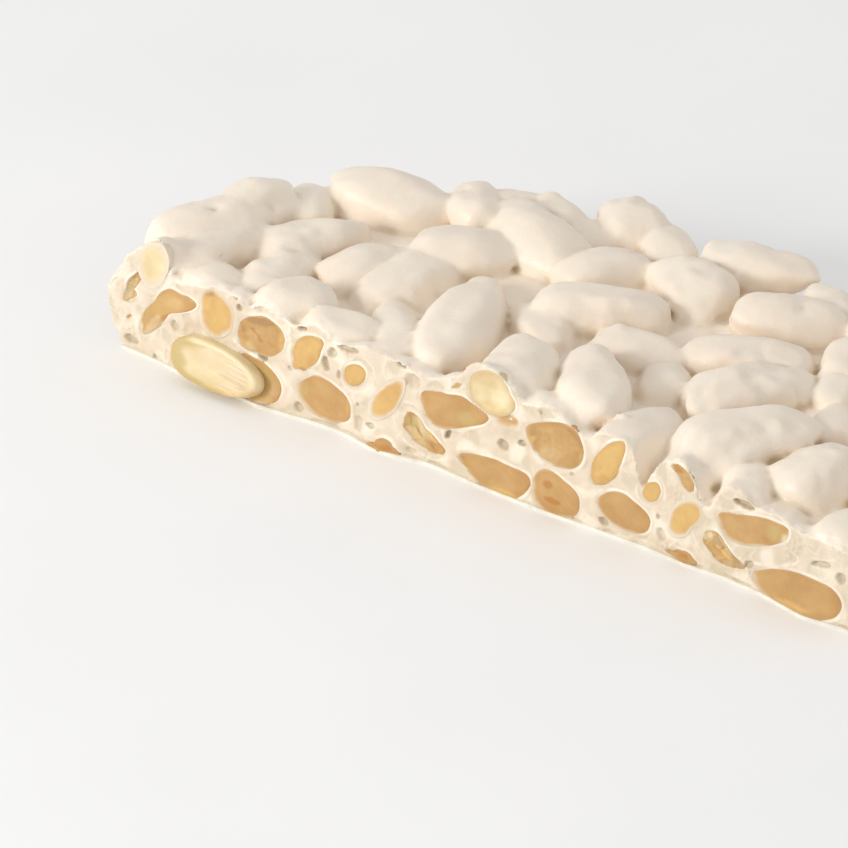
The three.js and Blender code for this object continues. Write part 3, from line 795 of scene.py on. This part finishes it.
def cut_layers(flat, relief):
    """For points of the cut: how far they stand back, 1 in an almond's pocket, and the colour layers."""
    x, z = flat[:, 0], flat[:, 2]
    nearest, side, bare = beside_almonds(x, z)
    open_ground = rise(nearest, 0, 0.8)
    patchy = rise(noise_at(flat, 4.5, 12), -0.1, 0.3)
    shell = rise(nearest, -0.3, 0.0) * (1 - rise(nearest, 0.15, 0.6))
    shell = shell * np.clip(side + 0.7 * patchy - 0.2, 0, 1) * bare
    # A thin groove by each almond's lower left edge, darkened with painted shade.
    shaded_seam = (1 - rise(np.abs(nearest - 0.1), 0.05, 0.35)) * np.clip(0.3 - side - 0.6 * patchy, 0, 1) * bare
    hollow = rise(noise_at(flat, 4, 17), 0.15, 0.4) * open_ground
    white = 0.6 * rise(noise_at(flat, 5, 33), 0.05, 0.35) * open_ground
    film = ridges(flat, 4, 23, 9.0) * rise(noise_at(flat, 7, 24), 0.0, 0.25) * open_ground
    wander = 0.5 * noise_at(flat, 3, 26)
    broken = rise(noise_at(flat, 4, 27), -0.25, 0.15)
    for oval in FILMS:
        far = outline_distance(x, z, oval) + wander
        film = np.maximum(film, (1 - rise(np.abs(far), 0.1, 0.5)) * open_ground * broken)
        hollow = np.maximum(hollow, 0.7 * (1 - rise(far, -0.6, 0.0)) * open_ground)
    crumbs = rise(noise_at(flat, 0.7, 21), 0.1, 0.4) * rise(noise_at(flat, 5, 22), 0.1, 0.35) * open_ground
    back = relief * (noise_at(flat, 3.5, 7) + 0.35 * noise_at(flat, 1.0, 8)) * open_ground
    back += 0.15 * shaded_seam - 0.2 * shell - 0.2 * crumbs - 0.12 * film + 0.15 * hollow
    shade_and_specks = np.zeros(len(flat))
    ragged = 0.25 * noise_at(flat, 0.9, 14)
    # Each pit is set back and darkened with painted shade.
    for *oval, depth, tone in CUT_PITS:
        dip = spots(x, z, [(*oval, 1)], ragged)
        back += depth * dip
        shade_and_specks = np.maximum(shade_and_specks, 2.4 * tone * dip * (1.3 - dip))
    chip = spots(x, z, [(*oval, 1) for oval in CHIPS], ragged)
    gap = 1 - rise(z, WAFER_TOP + 0.2, WAFER_TOP + 0.9)
    gap = gap * rise(noise_at(flat * (1, 0, 0), 7, 30), -0.1, 0.15)
    back += 0.3 * chip + 0.5 * gap
    layers = {
        "cut": 1, "shell": np.maximum(np.maximum(shell, 0.4 * film), white),
        "shade_and_specks": np.maximum(shade_and_specks, 0.15 * shaded_seam), "chip": chip, "clear": 0.6 * hollow,
    }
    return back, 1 - rise(nearest, -0.9, -0.35), layers


def beside_almonds(x, z):
    """For points of the cut: the distance to the nearest almond, how far they lie on its upper right side, and
    how bare of nougat its edge is."""
    nearest = np.full(len(x), 9.0)
    side, bare = np.zeros((2, len(x)))
    for cx, cz, turn, length, width, _, film, outline in (*CUT_ALMONDS, (*WHOLE_SEAT, "", 0, (100,))):
        near = np.flatnonzero(np.hypot(x - cx, z - cz) < length / 2 * 1.4 + 3)
        far = outline_distance(x[near], z[near], (cx, cz, turn, length, width), outline)
        closer = far < nearest[near]
        near, far = near[closer], far[closer]
        nearest[near] = far
        dx, dz = x[near] - cx, z[near] - cz
        side[near] = (0.6 * dx + 0.8 * dz) / np.maximum(np.hypot(dx, dz), 0.1)
        bare[near] = 1 - film
    return nearest, side, bare


def neighbours(obj):
    """The two ends of every edge, and how many neighbours each point has."""
    ends = np.empty(len(obj.data.edges) * 2, np.int64)
    obj.data.edges.foreach_get("vertices", ends)
    first, second = ends.reshape(-1, 2).T
    count = np.bincount(np.concatenate([first, second]), minlength=len(obj.data.vertices))
    return first, second, np.maximum(count, 1)[:, None]


def averaged(points, links):
    """Each point moved to the middle of its neighbours."""
    first, second, count = links
    total = np.empty_like(points)
    for axis in range(3):
        total[:, axis] = np.bincount(first, points[second, axis], len(points))
        total[:, axis] += np.bincount(second, points[first, axis], len(points))
    return total / count


def relax(obj, weight, steps):
    """Smooths each point by its own weight: creases fill up where it is high."""
    links = neighbours(obj)
    points = coordinates(obj)
    for _ in range(steps):
        points += (averaged(points, links) - points) * weight[:, None]
    set_coordinates(obj, points)


def creases(obj):
    """0 on open ground, 1 in the bottom of deep creases: the mask for their painted shade."""
    links = neighbours(obj)
    points = coordinates(obj)
    hollow = points.copy()
    for _ in range(CREASE_STEPS):
        hollow = averaged(hollow, links)
    depth = ((hollow - points) * normals(obj)).sum(axis=1) / MM
    return np.clip(depth / CREASE_DEPTH, 0, 1)


# ---- the almonds ----
# Each finish: relief of the face, height of its broken facets, how far its middle stands back, and how much
# nougat blurs its lower left edge.
FACES = {
    "tan": (0.1, 0.0, 0.0, 0.6), "gold": (0.14, 0.1, 0.0, 0.4), "brown": (0.22, 0.2, 0.1, 0.3),
    "broken": (0.25, 0.6, 0.4, 0.2), "pale": (0.1, 0.1, 0.0, 0.3),
}


def cut_almond(number, almond, materials):
    """A cut almond: a round form whose front half is pressed flat into the cut's face."""
    x, z, turn, length, width, finish, film, outline = almond
    relief, step, hollow, soft = FACES[finish]
    obj = named(ball(112, 84, (math.pi / 2, 0, 0)), f"cut_almond_{number:02d}")
    u, y, v = coordinates(obj).T
    front = y < 1e-4
    radius = np.hypot(u, v)
    angle = np.arctan2(v, u)
    spread = np.where(front, np.arcsin(np.clip(radius, 0, 1)) / (math.pi / 2), radius)
    ring = np.stack([np.cos(angle), np.sin(angle), np.full(len(angle), number * 3.3)], 1)
    reach = spread * outline_at(angle, outline) * (1 + 0.03 * noise_at(ring, 0.25, number))
    u, v = reach * np.cos(angle) * length / 2, reach * np.sin(angle) * width / 2
    flat = np.stack([u, np.zeros(len(u)), v], 1)
    rough = relief * (noise_at(flat, 3.0, number) + 0.5 * noise_at(flat, 1.1, number + 40))
    bent = 0.6 * noise_at(flat, 2.0, number + 60)
    inside, tone = cells(u * 0.7 + bent, v + bent, 2.2, number)
    rough += step * (tone - 0.5) * rise(inside, 0.0, 0.25)
    rough += hollow * (1 - spread**3)
    edge = rise(spread, 0.86, 1.0)
    tilt = math.radians(turn)
    low_side = rise(-0.6 * np.cos(angle + tilt) - 0.8 * np.sin(angle + tilt), -0.1, 0.6)
    low_side *= 0.7 + 0.3 * noise_at(ring, 0.6, number + 20)
    film = film + soft * low_side
    lip = 0.3 * np.clip(1 - film, 0, 1)
    back = np.where(front, lip * edge**2 + rough * (1 - edge), lip + y * (cut_depth(length) - lip))
    px = x + u * math.cos(tilt) - v * math.sin(tilt)
    pz = z + u * math.sin(tilt) + v * math.cos(tilt)
    py = back + cut_wave(px, pz) - PROUD
    pz = np.maximum(pz, LOWEST)
    set_in_slab(obj, np.stack([px, py, pz], 1))
    inward = spread + 0.06 * noise_at(flat, 2.0, number)
    attributes(obj, film=np.clip(film, 0, 1) * rise(inward, 0.92 - 0.25 * film, 1.0))
    ragged = 0.3 * noise_at(flat, 1.0, number + 80)
    rim = rise(inward, 0.9, 0.98) * rise(noise_at(ring, 0.5, number + 90), -0.1, 0.3)
    rim = 0.5 * rim * np.clip(1 - 2 * film, 0, 1)
    shards = 0.35 * min(step * 1.5, 1) * (1 - edge)
    layers = {
        "dark": np.maximum(rim, shards * (tone < 0.25)), "gold": shards * (tone > 0.75),
        # The olive along each almond's lower left edge is painted shade.
        "olive": 0.4 * rise(inward, 0.7, 0.95) * low_side, "brown": 0.3 * rise(inward, 0.6, 0.95), "pale": 0,
    }
    for kind, marks in MARKS.items():
        ovals = [mark for mark in marks if math.hypot(mark[0] - x, mark[1] - z) < MARK_REACH]
        attributes(obj, **{kind: np.maximum(spots(px, pz, ovals, ragged), layers[kind])})
    return finished(obj, materials[finish])


def whole_almond(colours):
    """The whole blanched almond, with fine lines along it, a clearer edge, and a painted highlight along its
    upper right rim.
    """
    obj = named(almond_blank(160, 110, 2.3, 0.1), "whole_blanched_almond")
    unit = coordinates(obj)
    unit[:, 2] = np.tanh(3 * unit[:, 2]) / math.tanh(3)
    set_coordinates(obj, unit)
    obj.data.transform(matrix_of(**WHOLE_ALMOND))
    u, v = unit[:, 0], unit[:, 1]
    lines = ridges(unit * (0.12, 1, 1), 0.14, 5, 5.0) * rise(u, 0.1, 0.4) * (1 - rise(u, 0.75, 0.9))
    swell = 0.22 * noise_at(unit, 0.6, 3) - 0.05 * lines
    set_coordinates(obj, coordinates(obj) + normals(obj) * swell[:, None] * MM)
    across = np.hypot(u / 0.95, v / 0.9)
    patchy = 0.2 * noise_at(unit, 0.4, 6)
    attributes(
        obj, film=0, dark=0.25 * lines, gold=0.35 * rise(0.5 * u - v + patchy, 0.4, 0.9),
        olive=0.9 * rise(across + patchy - 0.35 * u - 0.1 * v, 0.8, 1.1), brown=0,
        # The pale along the upper right rim is a painted highlight.
        pale=0.8 * rise(across, 0.84, 0.96) * rise(0.6 * u + v, 0.2, 0.6),
    )
    skin = almond_material("Blanched almond", colours.blanched, colours.blanched_shade, colours)
    return finished(obj, skin)


# ---- the wafer ----
def wafer_piece(colours):
    """The thin wafer, whose front edge follows the cut's lower edge."""
    obj = named(disc(360, WAFER_INSET, 0, WAFER_TOP), "wafer_sheet")
    bisected(obj, place(0, 0, 0), (0, 1, 0))
    select_none(obj, "EDGE")
    for edge in obj.data.edges:
        ends = [obj.data.vertices[v].co for v in edge.vertices]
        edge.select = all(abs(p.y - ZERO.y) < 1e-6 for p in ends) and abs(ends[0].x - ends[1].x) > 0.1
    edit(bpy.ops.mesh.subdivide, number_cuts=360)
    local = in_slab(obj)
    front = local[:, 1] < 0.01
    local[front, 1] = cut_wave(local[front, 0], np.zeros(front.sum())) - WAFER_FRONT
    local[:, 1] += 0.15 * noise_at(local, 2.0, 9) * front
    set_in_slab(obj, local)
    n = Nodes("Rice wafer")
    n.set(Base_Color=n.ramp(n.noise(3, 4), (0.35, colours.wafer_shade), (0.65, colours.wafer)))
    n.bump(n.noise(0.8, 3), 0.05)
    n.set(Roughness=0.75, Specular_IOR_Level=0.3)
    obj.data.materials.append(n.material)
    return obj


# ---- settings ----
def swatch(name, description, *values):
    return FloatVectorProperty(
        name=name, description=description, subtype="COLOR", size=3, min=0, max=1, default=srgb(*values)
    )


def measure(name, description, value, least, most):
    return FloatProperty(name=name, description=description, default=value, min=least, max=most)


class NougatSizes(bpy.types.PropertyGroup):
    grid: measure("Grid", "Step of the grid that the nougat is skinned on, in millimetres", 0.45, 0.35, 3)
    facets: measure("Facets", "How faceted the coated almonds are: 0 is round", 0.8, 0, 1)
    coat_relief: measure("Coat relief", "Height of the coat's swells, in millimetres", 0.22, 0, 1)
    cut_relief: measure("Cut relief", "Height of the cut's roughness, in millimetres", 0.18, 0, 1)


class NougatColours(bpy.types.PropertyGroup):
    coat: swatch("Coat", "The coat over the almonds", 246, 234, 217)
    coat_light: swatch("Coat, light flecks", "Lighter flecks in the coat", 250, 240, 226)
    coat_shade: swatch("Coat, dull patches", "Duller patches in the coat", 238, 224, 207)
    # Painted shade for the creases between the coated almonds.
    crease: swatch("Creases", "Nougat in the creases between almonds", 206, 181, 143)
    cut: swatch("Cut", "Nougat in the cut", 230, 216, 195)
    cut_shade: swatch("Cut, darker patches", "Darker patches in the cut", 220, 202, 178)
    clear: swatch("Cut, clear patches", "Clearer nougat in the cut", 210, 197, 171)
    shell: swatch("Shells", "Bright nougat round an almond", 248, 238, 220)
    # Painted shade in pits, seams and the deepest creases; also the colour of the real specks.
    shade_and_specks: swatch("Pits", "The bottom of pits, and specks", 176, 158, 128)
    tan: swatch("Almond, tan", "Roasted almond", 201, 162, 107)
    tan_shade: swatch("Almond, tan shade", "Darker patches of roasted almond", 190, 149, 94)
    gold: swatch("Almond, gold", "Lightly roasted almond", 220, 183, 116)
    gold_shade: swatch("Almond, gold shade", "Darker patches of lightly roasted almond", 211, 170, 106)
    brown: swatch("Almond, brown", "Dark roasted spots", 186, 130, 68)
    # Skins, cracks and dark spots of the almonds, and one painted shadow along an almond's right edge.
    dark: swatch("Almond, dark", "Hollows and skins", 162, 128, 84)
    # Olive spots of the almonds, and painted shade along the cut almonds' lower left edges.
    olive: swatch("Almond, olive", "Clear, oily spots", 196, 172, 112)
    # Pale flecks of the almonds, and the painted highlight on the whole almond's upper right rim.
    pale: swatch("Almond, pale", "Pale flecks", 238, 223, 182)
    blanched: swatch("Blanched almond", "The whole blanched almond", 230, 207, 172)
    blanched_shade: swatch("Blanched almond, shade", "Darker patches of blanched almond", 222, 201, 156)
    broken: swatch("Broken almond", "Broken faces", 214, 195, 152)
    wafer: swatch("Wafer", "The wafer", 240, 236, 224)
    wafer_shade: swatch("Wafer, duller patches", "Duller patches in the wafer", 226, 220, 203)


class NOUGAT_OT_mass(bpy.types.Operator):
    """Makes the nougat with the almonds under its skin"""

    bl_idname = "nougat.mass"
    bl_label = "Nougat"

    def execute(self, context):
        mass = nougat_piece(context.scene.nougat_sizes, context.scene.nougat_colours)
        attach(mass, "root")
        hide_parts("nougat")
        return {"FINISHED"}


class NOUGAT_OT_cut_almonds(bpy.types.Operator):
    """Makes the almonds that the cut went through"""

    bl_idname = "nougat.cut_almonds"
    bl_label = "Cut almonds"

    def execute(self, context):
        c = context.scene.nougat_colours
        tones = {
            "tan": (c.tan, c.tan_shade), "gold": (c.gold, c.gold_shade), "brown": (c.tan, c.tan_shade),
            "broken": (c.broken, c.tan_shade), "pale": (c.pale, c.blanched_shade),
        }
        materials = {tone: almond_material(f"Cut almond {tone}", *pair, c) for tone, pair in tones.items()}
        for number, almond in enumerate(CUT_ALMONDS, 1):
            piece = cut_almond(number, almond, materials)
            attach(piece, "root")
            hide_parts(f"almond_{number:02d}")
        return {"FINISHED"}


class NOUGAT_OT_whole_almond(bpy.types.Operator):
    """Makes the one whole almond that stands out of the cut"""

    bl_idname = "nougat.whole_almond"
    bl_label = "Whole almond"

    def execute(self, context):
        piece = whole_almond(context.scene.nougat_colours)
        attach(piece, "root")
        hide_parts("almond_whole")
        return {"FINISHED"}


class NOUGAT_OT_wafer(bpy.types.Operator):
    """Makes the thin wafer under the nougat"""

    bl_idname = "nougat.wafer"
    bl_label = "Wafer"

    def execute(self, context):
        piece = wafer_piece(context.scene.nougat_colours)
        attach(piece, "root")
        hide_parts("wafer")
        return {"FINISHED"}


# The stage, in metres and watts: the floor's side, the world's strength, and the key light's place seen from
# the slab's middle, its size and its power.
FLOOR_SIDE, WORLD_STRENGTH = 6, 0.74
KEY_PLACE, KEY_SIZE, KEY_POWER = (-0.55, -0.95, 0.42), 0.4, 7
# The camera: degrees round from the front and up, metres away, focal length, and what it aims at, in
# millimetres to the right and up in its picture from the middle of the cut's lower edge.
AZIMUTH, ELEVATION, DISTANCE, LENS = 38.5, 29.5, 2, 443.2
AIM_RIGHT, AIM_UP = -11.55, 12.61


def placed(name, data, where, back):
    """An object at a place in the scene, with its own Z axis towards back."""
    obj = bpy.data.objects.new(name, data)
    obj.location = where
    obj.rotation_euler = back.to_track_quat("Z", "Y").to_euler()
    bpy.context.scene.collection.objects.link(obj)
    return obj


def add_key_light():
    light = bpy.data.lights.new("Key", "AREA")
    light.shape = "DISK"
    light.size = KEY_SIZE
    light.energy = KEY_POWER
    light.color = (1, 0.98, 0.95)
    back = Vector(KEY_PLACE)
    placed("Key", light, place(0, 35, 10) + back, back)


def add_camera():
    azimuth, elevation = math.radians(AZIMUTH), math.radians(ELEVATION)
    flat = math.cos(elevation)
    back = Vector((math.sin(azimuth) * flat, -math.cos(azimuth) * flat, math.sin(elevation)))
    right = Vector((math.cos(azimuth), math.sin(azimuth), 0))
    camera = bpy.data.cameras.new("Camera")
    camera.lens = LENS
    camera.sensor_width = 36
    camera.clip_end = 20
    where = ZERO + (right * AIM_RIGHT + back.cross(right) * AIM_UP) * MM + back * DISTANCE
    bpy.context.scene.camera = placed("Camera", camera, where, back)


class NOUGAT_OT_stage(bpy.types.Operator):
    """Makes the floor, the light and the camera"""

    bl_idname = "nougat.stage"
    bl_label = "Stage"

    def execute(self, context):
        scene = context.scene
        bpy.ops.mesh.primitive_plane_add(size=FLOOR_SIDE, location=(0, 0, ZERO.z))
        bpy.ops.object.transform_apply(location=True, rotation=False, scale=False)
        floor = bpy.context.object
        floor.name = "floor"
        n = Nodes("Pale floor")
        n.set(Base_Color=n.ramp(n.noise(60, 2), (0.3, 0.93), (0.7, 0.95)))
        n.set(Roughness=0.9, Specular_IOR_Level=0.1)
        floor.data.materials.append(n.material)

        world = bpy.data.worlds.new("Studio")
        world.use_nodes = True
        background = world.node_tree.nodes["Background"]
        background.inputs["Color"].default_value = (1, 1, 1, 1)
        background.inputs["Strength"].default_value = WORLD_STRENGTH
        scene.world = world
        scene.view_settings.view_transform = "Standard"
        add_key_light()
        add_camera()
        return {"FINISHED"}


class NOUGAT_PT_panel(bpy.types.Panel):
    """Sizes, colours and the steps that make the nougat"""

    bl_label = "Nougat cake half"
    bl_idname = "NOUGAT_PT_panel"
    bl_space_type = "VIEW_3D"
    bl_region_type = "UI"
    bl_category = "Nougat"

    def draw(self, context):
        scene = context.scene
        for group in (scene.nougat_sizes, scene.nougat_colours):
            for prop in type(group).__annotations__:
                self.layout.prop(group, prop)
        for step in STEPS:
            self.layout.operator(step.bl_idname)


STEPS = (NOUGAT_OT_mass, NOUGAT_OT_cut_almonds, NOUGAT_OT_whole_almond, NOUGAT_OT_wafer, NOUGAT_OT_stage)
CLASSES = (NougatSizes, NougatColours, *STEPS, NOUGAT_PT_panel)


def register():
    for cls in CLASSES:
        bpy.utils.register_class(cls)
    bpy.types.Scene.nougat_sizes = bpy.props.PointerProperty(type=NougatSizes)
    bpy.types.Scene.nougat_colours = bpy.props.PointerProperty(type=NougatColours)


def unregister():
    del bpy.types.Scene.nougat_colours
    del bpy.types.Scene.nougat_sizes
    for cls in reversed(CLASSES):
        bpy.utils.unregister_class(cls)


def main():
    register()
    bpy.ops.nougat.mass()
    bpy.ops.nougat.cut_almonds()
    bpy.ops.nougat.whole_almond()
    bpy.ops.nougat.wafer()
    bpy.ops.nougat.stage()
    bpy.context.view_layer.update()


if __name__ == "__main__":
    main()
